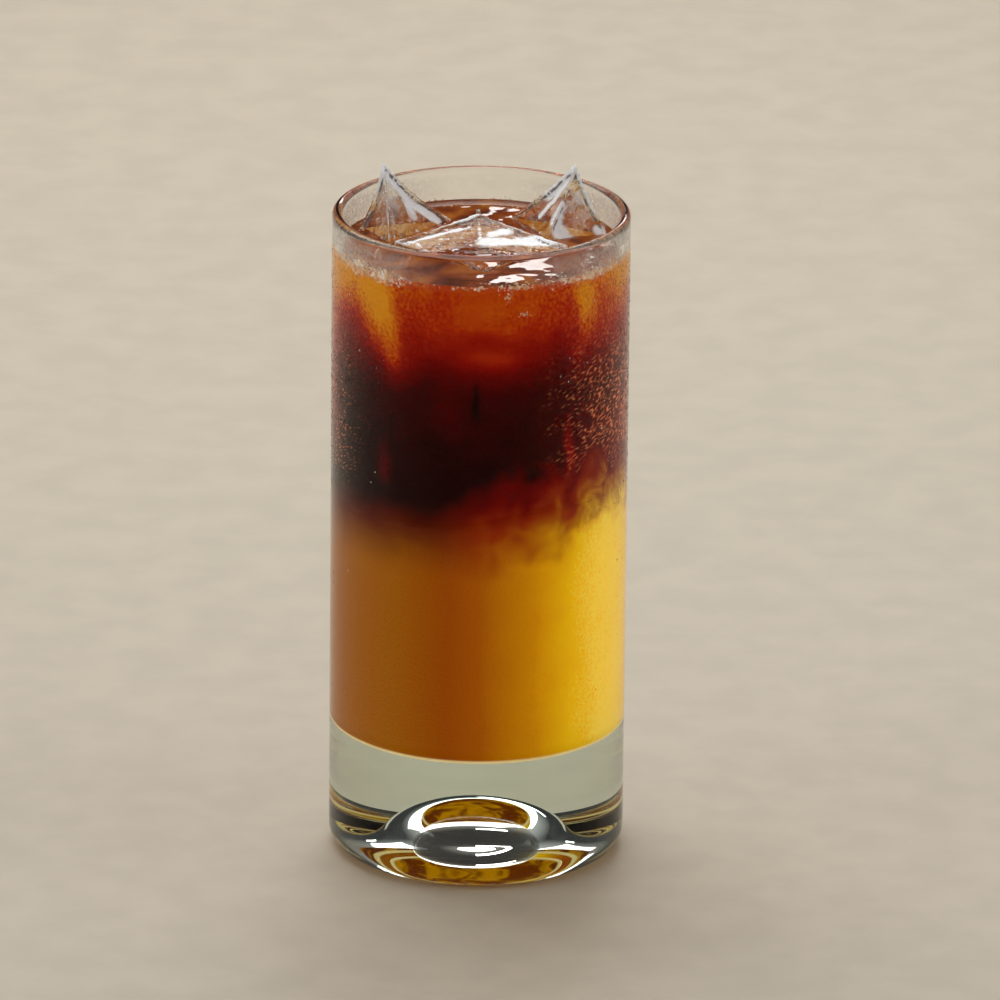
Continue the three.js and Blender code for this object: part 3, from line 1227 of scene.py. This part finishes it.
class DRINK_OT_condensation(bpy.types.Operator):
    """Scatter droplets of condensed water over the cold part of the glass"""

    bl_idname = "layered_drink.condensation"
    bl_label = "Add the condensation"

    def execute(self, context):
        drops = context.scene.drink_condensation
        fine = (drops.fine_smallest, drops.fine_largest)
        condense("fine_mist", drops.fine_count, *fine, MIST_SEED)
        condense("droplets", drops.count, drops.smallest, drops.largest, DROPLET_SEED)
        return {"FINISHED"}


def bubble_material():
    """Pale coffee foam, wet and slightly see-through."""
    paint = Paint("Coffee bubbles")
    tone = paint.noise(1.6, detail=1.0)
    foam = [(0.3, shade(200, 150, 100)), (0.5, shade(230, 204, 168)), (0.7, shade(246, 236, 220))]
    colour = paint.ramp(tone, foam)
    paint.glow(colour, 0.2)
    return paint.finish(colour, roughness=0.12, ior=1.33, Transmission_Weight=0.3)


# Where bubbles gather at the wall: from one angle to another, their share of the count, the
# number of clumps, how far a clump spreads, along the wall, up and down it, and inwards, and its
# height over the coffee in millimetres
FrothRun = namedtuple("FrothRun", "start end share clumps spread up")
FROTH_RUNS = (
    FrothRun(-66, -32, 0.34, 14, (1.3, 0.8, 1.0), 0.5),
    FrothRun(-30, 6, 0.03, 9, (1.4, 0.25, 0.6), 0.5),
    FrothRun(2, 40, 0.10, 8, (2.6, 0.4, 2.2), 0.5),
    FrothRun(44, 72, 0.14, 9, (1.2, 0.6, 1.0), 0.5),
    FrothRun(72, 294, 0.39, 40, (2.0, 0.35, 1.2), 0.5),
    FrothRun(11.5, 13.5, 0.014, 1, (0.5, 0.8, 0.4), -1.2),
    FrothRun(16, 20, 0.008, 3, (0.5, 0.3, 0.3), -5.8),
)

# Share of the bubbles that are pressed against the glass, and how far they reach into it
FROTH_AT_WALL = 0.5
FROTH_SUNK = 0.14 * MM


def froth_stations(froth, draw):
    """Places for bubbles, in clumps, that lie on the coffee or are pressed against the glass."""
    stations = []
    for run in FROTH_RUNS:
        along, tall, inwards = (spread * MM for spread in run.spread)
        for _ in range(run.clumps):
            middle = draw.uniform(run.start, run.end)
            for _ in range(round(froth.count * run.share / run.clumps)):
                size = froth.smallest + (froth.largest - froth.smallest) * draw.random() ** 3
                angle = middle + math.degrees(draw.gauss(0, along) / BORE_RADIUS)
                if draw.random() < FROTH_AT_WALL:
                    height = LIQUID_LEVEL + run.up * MM + draw.gauss(0, tall)
                    radius = BORE_RADIUS + FROTH_SUNK
                    stations.append(wall_station(angle, height, radius, size, size, size * 0.4))
                else:
                    radius = BORE_RADIUS - size * 0.6 - abs(draw.gauss(0, inwards))
                    height = LIQUID_LEVEL - 0.05 * MM
                    where = Matrix.Translation(on_wall(angle, height, radius))
                    stations.append(where @ Matrix.Diagonal((size, size, size * 0.8, 1)))
    return stations


class DRINK_OT_froth(bpy.types.Operator):
    """Add the bubbles that cling to the glass round the coffee"""

    bl_idname = "layered_drink.froth"
    bl_label = "Add the bubbles"

    def execute(self, context):
        froth = context.scene.drink_froth
        stations = froth_stations(froth, random.Random(FROTH_SEED))
        piece = scatter("edge_bubbles", dome_points(7, 3), stations)
        place_piece(piece, [bubble_material()], "coffee")
        return {"FINISHED"}


# Stage


def floor_material(studio):
    paint = Paint("Pale table")
    grain = paint.noise(14, detail=5.0)
    darker = [0.93 * value for value in studio.floor_colour]
    colour = paint.mix(paint.between(grain, 0.3, 0.7), darker, studio.floor_colour)
    return paint.finish(colour, roughness=0.55, Normal=paint.bump(grain, 0.05))


def soft_light(name, place, aim, size, power):
    """A white area light that faces its aim."""
    lamp = bpy.data.lights.new(name, "AREA")
    lamp.shape = "RECTANGLE"
    lamp.size, lamp.size_y = size
    lamp.energy = power
    holder = add_object(name, lamp)
    holder.location = place
    holder.rotation_euler = (Vector(aim) - Vector(place)).to_track_quat("-Z", "Y").to_euler()
    holder.visible_camera = False


# Light from the sky by height, from straight below to high above
SKY = ((0.0, (0.10, 0.10, 0.105)), (0.42, (0.12, 0.12, 0.125)), (0.85, (1.3, 1.3, 1.31)))


def studio_world():
    """Soft light from above, with a plain pale backdrop where the camera looks past the floor."""
    world = bpy.data.worlds.new("Studio")
    sky = Nodes(world, "Generated")
    light = sky.ramp(sky.split(sky.place)[2], SKY)
    seen = sky.add("ShaderNodeLightPath").outputs["Is Camera Ray"]
    back = sky.tree.nodes["Background"]
    sky.feed(back.inputs["Color"], sky.mix(seen, light, (1.2, 1.19, 1.17)))
    sky.feed(back.inputs["Strength"], 0.4)
    bpy.context.scene.world = world


# Width of the camera's sensor, in Blender's millimetres
SENSOR_WIDTH = 36


def place_camera(studio):
    """A long lens at the photo's height and lean."""
    lens = bpy.data.cameras.new("Camera")
    lens.sensor_width = SENSOR_WIDTH
    lens.lens = SENSOR_WIDTH * studio.distance / studio.frame_width
    lens.clip_start = 0.1
    lens.clip_end = 50
    aim = Vector((studio.aim_x, 0, studio.aim_z))
    back = Vector((0, -math.cos(studio.elevation), math.sin(studio.elevation)))
    look = (-back).to_track_quat("-Z", "Y").to_matrix().to_4x4()
    lean = Matrix.Rotation(studio.roll, 4, "Z")
    camera = add_object("Camera", lens)
    camera.matrix_world = Matrix.Translation(aim + back * studio.distance) @ look @ lean
    bpy.context.scene.camera = camera


# Half the width of the floor, in metres
FLOOR_REACH = 4.0


class DRINK_OT_stage(bpy.types.Operator):
    """Set out the floor, the light and the camera"""

    bl_idname = "layered_drink.stage"
    bl_label = "Set the stage"

    def execute(self, context):
        studio = context.scene.drink_studio
        floor_mesh = bmesh.new()
        bmesh.ops.create_grid(floor_mesh, x_segments=8, y_segments=8, size=FLOOR_REACH)
        floor = finish_mesh("pale_floor", floor_mesh, smooth=False)
        floor.data.materials.append(floor_material(studio))
        studio_world()
        middle = (0, 0, 0.08)
        soft_light("Key", (-0.15, 0.6, 0.95), (0, 0.2, 0), (1.1, 0.8), 8)
        soft_light("Left", (-0.9, -0.3, 0.5), middle, (0.5, 0.5), 1.3)
        soft_light("Right", (0.9, -0.2, 0.5), middle, (0.5, 0.5), 1.3)
        soft_light("Window", (0.15, 1.1, 0.572), middle, (0.3, 0.08), 0.5)
        place_camera(studio)
        scene = context.scene
        scene.view_settings.view_transform = "Standard"
        scene.cycles.use_denoising = True
        scene.cycles.max_bounces = 12
        scene.cycles.transmission_bounces = 12
        scene.cycles.glossy_bounces = 6
        scene.cycles.diffuse_bounces = 3
        scene.cycles.adaptive_threshold = 0.03
        scene.cycles.sample_clamp_indirect = 8
        return {"FINISHED"}


OPERATORS = (
    DRINK_OT_stage,
    DRINK_OT_glass,
    DRINK_OT_liquids,
    DRINK_OT_ice,
    DRINK_OT_froth,
    DRINK_OT_condensation,
)


class DRINK_PT_panel(bpy.types.Panel):
    """Lists the steps that make the drink, with the sizes that each one uses"""

    bl_label = "Iced coffee"
    bl_idname = "DRINK_PT_panel"
    bl_space_type = "VIEW_3D"
    bl_region_type = "UI"
    bl_category = "Iced coffee"

    def draw(self, context):
        for operator in OPERATORS:
            self.layout.operator(operator.bl_idname)
        for name, group in SETTINGS.items():
            box = self.layout.box()
            box.label(text=group.__doc__)
            for field in group.__annotations__:
                box.prop(getattr(context.scene, name), field)


CLASSES = (*SETTINGS.values(), *OPERATORS, DRINK_PT_panel)


def register():
    for cls in CLASSES:
        bpy.utils.register_class(cls)
    for name, group in SETTINGS.items():
        setattr(bpy.types.Scene, name, PointerProperty(type=group))


def unregister():
    for name in SETTINGS:
        delattr(bpy.types.Scene, name)
    for cls in reversed(CLASSES):
        bpy.utils.unregister_class(cls)


def main():
    register()
    bpy.ops.layered_drink.stage()
    bpy.ops.layered_drink.glass()
    bpy.ops.layered_drink.liquids()
    bpy.ops.layered_drink.ice()
    bpy.ops.layered_drink.froth()
    bpy.ops.layered_drink.condensation()


if __name__ == "__main__":
    main()
